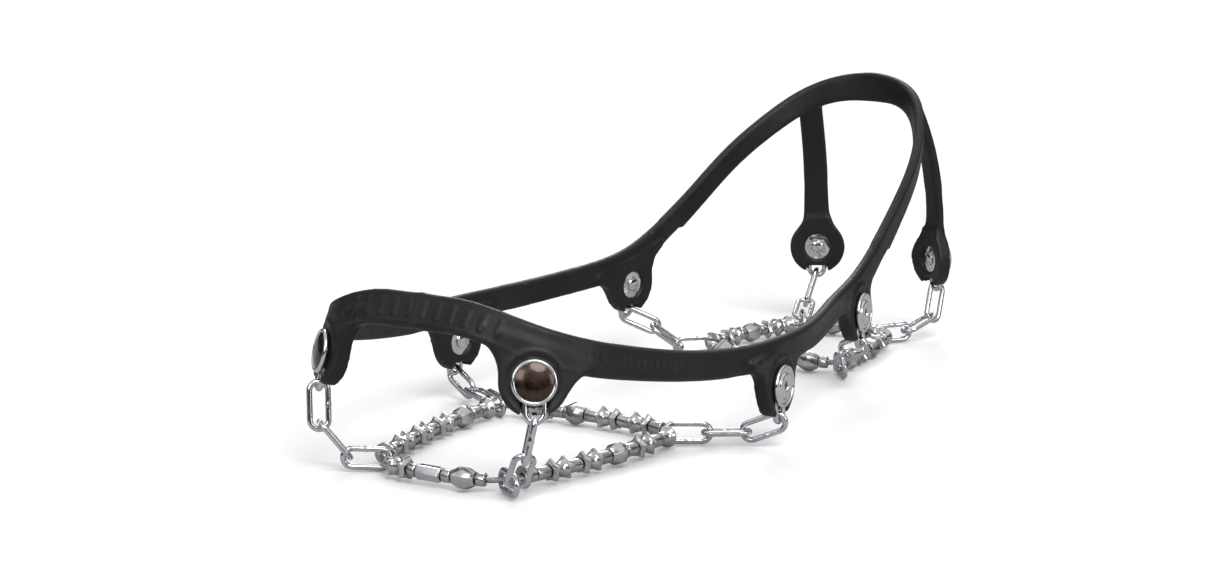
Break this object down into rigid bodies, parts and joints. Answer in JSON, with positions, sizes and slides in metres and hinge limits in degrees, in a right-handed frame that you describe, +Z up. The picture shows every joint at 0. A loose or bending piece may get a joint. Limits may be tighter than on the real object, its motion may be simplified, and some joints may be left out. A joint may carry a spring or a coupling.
{
  "type": "shoe ice cleats",
  "caption": "Slip-on traction cleat for a boot: stretchy rubber harness with riveted lugs, short steel chains and cable nets threaded with spinning studded beads.",
  "frame": {"origin": "on the ground under the middle of the foot, halfway along and halfway across the cleat", "axes": "+Z up, toe towards -Y, wearer's left towards +X"},
  "size_m": [0.1354, 0.2991, 0.0991],
  "materials": {
    "black_rubber": "satin moulded rubber",
    "dark_bronze": "dark bronze domed cap",
    "polished_steel": "bright plated",
    "zinc_steel": "bright zinc plated",
    "cable_steel": "stranded wire rope"
  },
  "bodies": {
    "harness": {"harness_band": "black_rubber", "toe_rivets": "dark_bronze", "side_rivets": "polished_steel", "rivet_washers": "polished_steel", "anchor_links": "zinc_steel", "forefoot_cable": "cable_steel", "heel_cable": "cable_steel", "cable_crimps": "polished_steel", "tube_spacers": "zinc_steel", "end_cones": "zinc_steel"},
    "left_toe_link_1": {"left_toe_link_1": "zinc_steel"},
    "left_toe_link_2": {"left_toe_link_2": "zinc_steel"},
    "left_toe_link_3": {"left_toe_link_3": "zinc_steel"},
    "right_toe_link_1": {"right_toe_link_1": "zinc_steel"},
    "right_toe_link_2": {"right_toe_link_2": "zinc_steel"},
    "right_toe_link_3": {"right_toe_link_3": "zinc_steel"},
    "left_ball_link_1": {"left_ball_link_1": "zinc_steel"},
    "left_ball_link_2": {"left_ball_link_2": "zinc_steel"},
    "left_ball_link_3": {"left_ball_link_3": "zinc_steel"},
    "right_ball_link_1": {"right_ball_link_1": "zinc_steel"},
    "right_ball_link_2": {"right_ball_link_2": "zinc_steel"},
    "right_ball_link_3": {"right_ball_link_3": "zinc_steel"},
    "left_arch_link_1": {"left_arch_link_1": "zinc_steel"},
    "left_arch_link_2": {"left_arch_link_2": "zinc_steel"},
    "left_arch_link_3": {"left_arch_link_3": "zinc_steel"},
    "right_arch_link_1": {"right_arch_link_1": "zinc_steel"},
    "right_arch_link_2": {"right_arch_link_2": "zinc_steel"},
    "right_arch_link_3": {"right_arch_link_3": "zinc_steel"},
    "left_heel_link_1": {"left_heel_link_1": "zinc_steel"},
    "left_heel_link_2": {"left_heel_link_2": "zinc_steel"},
    "left_heel_link_3": {"left_heel_link_3": "zinc_steel"},
    "right_heel_link_1": {"right_heel_link_1": "zinc_steel"},
    "right_heel_link_2": {"right_heel_link_2": "zinc_steel"},
    "right_heel_link_3": {"right_heel_link_3": "zinc_steel"},
    "toe_strand_bead_1": {"toe_strand_bead_1": "zinc_steel"},
    "toe_strand_bead_2": {"toe_strand_bead_2": "zinc_steel"},
    "left_forefoot_bead_1": {"left_forefoot_bead_1": "zinc_steel"},
    "left_forefoot_bead_2": {"left_forefoot_bead_2": "zinc_steel"},
    "left_forefoot_bead_3": {"left_forefoot_bead_3": "zinc_steel"},
    "left_forefoot_bead_4": {"left_forefoot_bead_4": "zinc_steel"},
    "ball_strand_bead_1": {"ball_strand_bead_1": "zinc_steel"},
    "ball_strand_bead_2": {"ball_strand_bead_2": "zinc_steel"},
    "ball_strand_bead_3": {"ball_strand_bead_3": "zinc_steel"},
    "ball_strand_bead_4": {"ball_strand_bead_4": "zinc_steel"},
    "right_forefoot_bead_1": {"right_forefoot_bead_1": "zinc_steel"},
    "right_forefoot_bead_2": {"right_forefoot_bead_2": "zinc_steel"},
    "right_forefoot_bead_3": {"right_forefoot_bead_3": "zinc_steel"},
    "right_forefoot_bead_4": {"right_forefoot_bead_4": "zinc_steel"},
    "heel_front_bead_1": {"heel_front_bead_1": "zinc_steel"},
    "heel_front_bead_2": {"heel_front_bead_2": "zinc_steel"},
    "heel_front_bead_3": {"heel_front_bead_3": "zinc_steel"},
    "left_heel_bead_1": {"left_heel_bead_1": "zinc_steel"},
    "left_heel_bead_2": {"left_heel_bead_2": "zinc_steel"},
    "left_heel_bead_3": {"left_heel_bead_3": "zinc_steel"},
    "heel_rear_bead_1": {"heel_rear_bead_1": "zinc_steel"},
    "heel_rear_bead_2": {"heel_rear_bead_2": "zinc_steel"},
    "right_heel_bead_1": {"right_heel_bead_1": "zinc_steel"},
    "right_heel_bead_2": {"right_heel_bead_2": "zinc_steel"},
    "right_heel_bead_3": {"right_heel_bead_3": "zinc_steel"}
  },
  "joints": [
    {"name": "left_toe_link_1_twist", "type": "hinge", "parent": "harness", "child": "left_toe_link_1", "pos_m": [0.03978, -0.13794, 0.02083], "axis": [-0.1387, -0.1606, -0.9772], "range_deg": [-15, 14]},
    {"name": "left_toe_link_2_twist", "type": "hinge", "parent": "harness", "child": "left_toe_link_2", "pos_m": [0.03517, -0.13617, 0.01013], "axis": [-0.5196, 0.3631, -0.7734], "range_deg": [-14, 16]},
    {"name": "left_toe_link_3_twist", "type": "hinge", "parent": "harness", "child": "left_toe_link_3", "pos_m": [0.02702, -0.13069, 0.00424], "axis": [-0.8088, 0.5862, -0.0469], "range_deg": [-9, 20]},
    {"name": "right_toe_link_1_twist", "type": "hinge", "parent": "harness", "child": "right_toe_link_1", "pos_m": [-0.03978, -0.13794, 0.02083], "axis": [-0.1387, 0.1606, 0.9772], "range_deg": [-15, 14]},
    {"name": "right_toe_link_2_twist", "type": "hinge", "parent": "harness", "child": "right_toe_link_2", "pos_m": [-0.03517, -0.13617, 0.01013], "axis": [-0.5196, -0.3631, 0.7734], "range_deg": [-14, 16]},
    {"name": "right_toe_link_3_twist", "type": "hinge", "parent": "harness", "child": "right_toe_link_3", "pos_m": [-0.02702, -0.13069, 0.00424], "axis": [-0.8088, -0.5862, 0.0469], "range_deg": [-9, 20]},
    {"name": "left_ball_link_1_twist", "type": "hinge", "parent": "harness", "child": "left_ball_link_1", "pos_m": [0.06014, -0.0363, 0.00667], "axis": [-0.871, -0.3068, -0.3836], "range_deg": [-6, 17]},
    {"name": "left_ball_link_2_twist", "type": "hinge", "parent": "harness", "child": "left_ball_link_2", "pos_m": [0.04892, -0.04077, 0.00433], "axis": [-0.9031, -0.4269, -0.0474], "range_deg": [-17, 20]},
    {"name": "left_ball_link_3_twist", "type": "hinge", "parent": "harness", "child": "left_ball_link_3", "pos_m": [0.03809, -0.04695, 0.004], "axis": [-0.8404, -0.542, 0], "range_deg": [-20, 20]},
    {"name": "right_ball_link_1_twist", "type": "hinge", "parent": "harness", "child": "right_ball_link_1", "pos_m": [-0.06014, -0.0363, 0.00667], "axis": [-0.871, 0.3068, 0.3836], "range_deg": [-6, 17]},
    {"name": "right_ball_link_2_twist", "type": "hinge", "parent": "harness", "child": "right_ball_link_2", "pos_m": [-0.04892, -0.04077, 0.00433], "axis": [-0.9031, 0.4269, 0.0474], "range_deg": [-17, 20]},
    {"name": "right_ball_link_3_twist", "type": "hinge", "parent": "harness", "child": "right_ball_link_3", "pos_m": [-0.03809, -0.04695, 0.004], "axis": [-0.8404, 0.542, 0], "range_deg": [-20, 20]},
    {"name": "left_arch_link_1_twist", "type": "hinge", "parent": "harness", "child": "left_arch_link_1", "pos_m": [0.04431, 0.05217, 0.01483], "axis": [-0.8271, 0.41, -0.3846], "range_deg": [-9, 1]},
    {"name": "left_arch_link_2_twist", "type": "hinge", "parent": "harness", "child": "left_arch_link_2", "pos_m": [0.03678, 0.05884, 0.00825], "axis": [-0.3939, 0.7106, -0.583], "range_deg": [-12, 9]},
    {"name": "left_arch_link_3_twist", "type": "hinge", "parent": "harness", "child": "left_arch_link_3", "pos_m": [0.03053, 0.06796, 0.00399], "axis": [-0.662, 0.7495, 0.0009], "range_deg": [-16, 4]},
    {"name": "right_arch_link_1_twist", "type": "hinge", "parent": "harness", "child": "right_arch_link_1", "pos_m": [-0.04431, 0.05217, 0.01483], "axis": [-0.8271, -0.41, 0.3846], "range_deg": [-9, 1]},
    {"name": "right_arch_link_2_twist", "type": "hinge", "parent": "harness", "child": "right_arch_link_2", "pos_m": [-0.03678, 0.05884, 0.00825], "axis": [-0.3939, -0.7106, 0.583], "range_deg": [-12, 9]},
    {"name": "right_arch_link_3_twist", "type": "hinge", "parent": "harness", "child": "right_arch_link_3", "pos_m": [-0.03053, 0.06796, 0.00399], "axis": [-0.662, -0.7495, -0.0009], "range_deg": [-16, 4]},
    {"name": "left_heel_link_1_twist", "type": "hinge", "parent": "harness", "child": "left_heel_link_1", "pos_m": [0.02685, 0.14807, 0.01332], "axis": [0.0753, -0.4525, -0.8886], "range_deg": [-14, 12]},
    {"name": "left_heel_link_2_twist", "type": "hinge", "parent": "harness", "child": "left_heel_link_2", "pos_m": [0.02497, 0.13914, 0.00642], "axis": [-0.3375, -0.8842, -0.3229], "range_deg": [-14, 17]},
    {"name": "left_heel_link_3_twist", "type": "hinge", "parent": "harness", "child": "left_heel_link_3", "pos_m": [0.01925, 0.12857, 0.004], "axis": [-0.5595, -0.8288, 0.0001], "range_deg": [-14, 22]},
    {"name": "right_heel_link_1_twist", "type": "hinge", "parent": "harness", "child": "right_heel_link_1", "pos_m": [-0.02685, 0.14807, 0.01332], "axis": [0.0753, 0.4525, 0.8886], "range_deg": [-14, 12]},
    {"name": "right_heel_link_2_twist", "type": "hinge", "parent": "harness", "child": "right_heel_link_2", "pos_m": [-0.02497, 0.13914, 0.00642], "axis": [-0.3375, 0.8842, 0.3229], "range_deg": [-14, 17]},
    {"name": "right_heel_link_3_twist", "type": "hinge", "parent": "harness", "child": "right_heel_link_3", "pos_m": [-0.01925, 0.12857, 0.004], "axis": [-0.5595, 0.8288, -0.0001], "range_deg": [-14, 22]},
    {"name": "toe_strand_bead_1_spin", "type": "hinge", "parent": "harness", "child": "toe_strand_bead_1", "pos_m": [-0.01196, -0.13284, 0.004], "axis": [0.9795, -0.2015, 0], "continuous": true},
    {"name": "toe_strand_bead_2_spin", "type": "hinge", "parent": "harness", "child": "toe_strand_bead_2", "pos_m": [0.01196, -0.13284, 0.004], "axis": [0.9795, 0.2015, 0], "continuous": true},
    {"name": "left_forefoot_bead_1_spin", "type": "hinge", "parent": "harness", "child": "left_forefoot_bead_1", "pos_m": [0.02977, -0.10881, 0.004], "axis": [0.2195, 0.9756, 0], "continuous": true},
    {"name": "left_forefoot_bead_2_spin", "type": "hinge", "parent": "harness", "child": "left_forefoot_bead_2", "pos_m": [0.03232, -0.09576, 0.004], "axis": [0.1629, 0.9866, 0], "continuous": true},
    {"name": "left_forefoot_bead_3_spin", "type": "hinge", "parent": "harness", "child": "left_forefoot_bead_3", "pos_m": [0.03411, -0.08258, 0.004], "axis": [0.1057, 0.9944, 0], "continuous": true},
    {"name": "left_forefoot_bead_4_spin", "type": "hinge", "parent": "harness", "child": "left_forefoot_bead_4", "pos_m": [0.03513, -0.06932, 0.004], "axis": [0.0481, 0.9988, 0], "continuous": true},
    {"name": "ball_strand_bead_1_spin", "type": "hinge", "parent": "harness", "child": "ball_strand_bead_1", "pos_m": [0.0199, -0.04606, 0.004], "axis": [-0.9934, 0.1145, 0], "continuous": true},
    {"name": "ball_strand_bead_2_spin", "type": "hinge", "parent": "harness", "child": "ball_strand_bead_2", "pos_m": [0.00665, -0.04504, 0.004], "axis": [-0.9993, 0.0382, 0], "continuous": true},
    {"name": "ball_strand_bead_3_spin", "type": "hinge", "parent": "harness", "child": "ball_strand_bead_3", "pos_m": [-0.00665, -0.04504, 0.004], "axis": [-0.9993, -0.0382, 0], "continuous": true},
    {"name": "ball_strand_bead_4_spin", "type": "hinge", "parent": "harness", "child": "ball_strand_bead_4", "pos_m": [-0.0199, -0.04606, 0.004], "axis": [-0.9934, -0.1145, 0], "continuous": true},
    {"name": "right_forefoot_bead_1_spin", "type": "hinge", "parent": "harness", "child": "right_forefoot_bead_1", "pos_m": [-0.03513, -0.06932, 0.004], "axis": [0.0481, -0.9988, 0], "continuous": true},
    {"name": "right_forefoot_bead_2_spin", "type": "hinge", "parent": "harness", "child": "right_forefoot_bead_2", "pos_m": [-0.03411, -0.08258, 0.004], "axis": [0.1057, -0.9944, 0], "continuous": true},
    {"name": "right_forefoot_bead_3_spin", "type": "hinge", "parent": "harness", "child": "right_forefoot_bead_3", "pos_m": [-0.03232, -0.09576, 0.004], "axis": [0.1629, -0.9866, 0], "continuous": true},
    {"name": "right_forefoot_bead_4_spin", "type": "hinge", "parent": "harness", "child": "right_forefoot_bead_4", "pos_m": [-0.02977, -0.10881, 0.004], "axis": [0.2195, -0.9756, 0], "continuous": true},
    {"name": "heel_front_bead_1_spin", "type": "hinge", "parent": "harness", "child": "heel_front_bead_1", "pos_m": [-0.01759, 0.06796, 0.004], "axis": [0.983, -0.1837, 0], "continuous": true},
    {"name": "heel_front_bead_2_spin", "type": "hinge", "parent": "harness", "child": "heel_front_bead_2", "pos_m": [0.00639, 0.06654, 0.004], "axis": [0.9978, 0.0668, 0], "continuous": true},
    {"name": "heel_front_bead_3_spin", "type": "hinge", "parent": "harness", "child": "heel_front_bead_3", "pos_m": [0.01759, 0.06796, 0.004], "axis": [0.983, 0.1837, 0], "continuous": true},
    {"name": "left_heel_bead_1_spin", "type": "hinge", "parent": "harness", "child": "left_heel_bead_1", "pos_m": [0.02736, 0.08919, 0.004], "axis": [-0.1324, 0.9912, 0], "continuous": true},
    {"name": "left_heel_bead_2_spin", "type": "hinge", "parent": "harness", "child": "left_heel_bead_2", "pos_m": [0.02544, 0.10032, 0.004], "axis": [-0.2057, 0.9786, 0], "continuous": true},
    {"name": "left_heel_bead_3_spin", "type": "hinge", "parent": "harness", "child": "left_heel_bead_3", "pos_m": [0.02271, 0.11128, 0.004], "axis": [-0.2779, 0.9606, 0], "continuous": true},
    {"name": "heel_rear_bead_1_spin", "type": "hinge", "parent": "harness", "child": "heel_rear_bead_1", "pos_m": [0.00663, 0.12815, 0.004], "axis": [-0.9925, 0.1221, 0], "continuous": true},
    {"name": "heel_rear_bead_2_spin", "type": "hinge", "parent": "harness", "child": "heel_rear_bead_2", "pos_m": [-0.00663, 0.12815, 0.004], "axis": [-0.9925, -0.1221, 0], "continuous": true},
    {"name": "right_heel_bead_1_spin", "type": "hinge", "parent": "harness", "child": "right_heel_bead_1", "pos_m": [-0.02271, 0.11128, 0.004], "axis": [-0.2779, -0.9606, 0], "continuous": true},
    {"name": "right_heel_bead_2_spin", "type": "hinge", "parent": "harness", "child": "right_heel_bead_2", "pos_m": [-0.02544, 0.10032, 0.004], "axis": [-0.2057, -0.9786, 0], "continuous": true},
    {"name": "right_heel_bead_3_spin", "type": "hinge", "parent": "harness", "child": "right_heel_bead_3", "pos_m": [-0.02736, 0.08919, 0.004], "axis": [-0.1324, -0.9912, 0], "continuous": true}
  ]
}
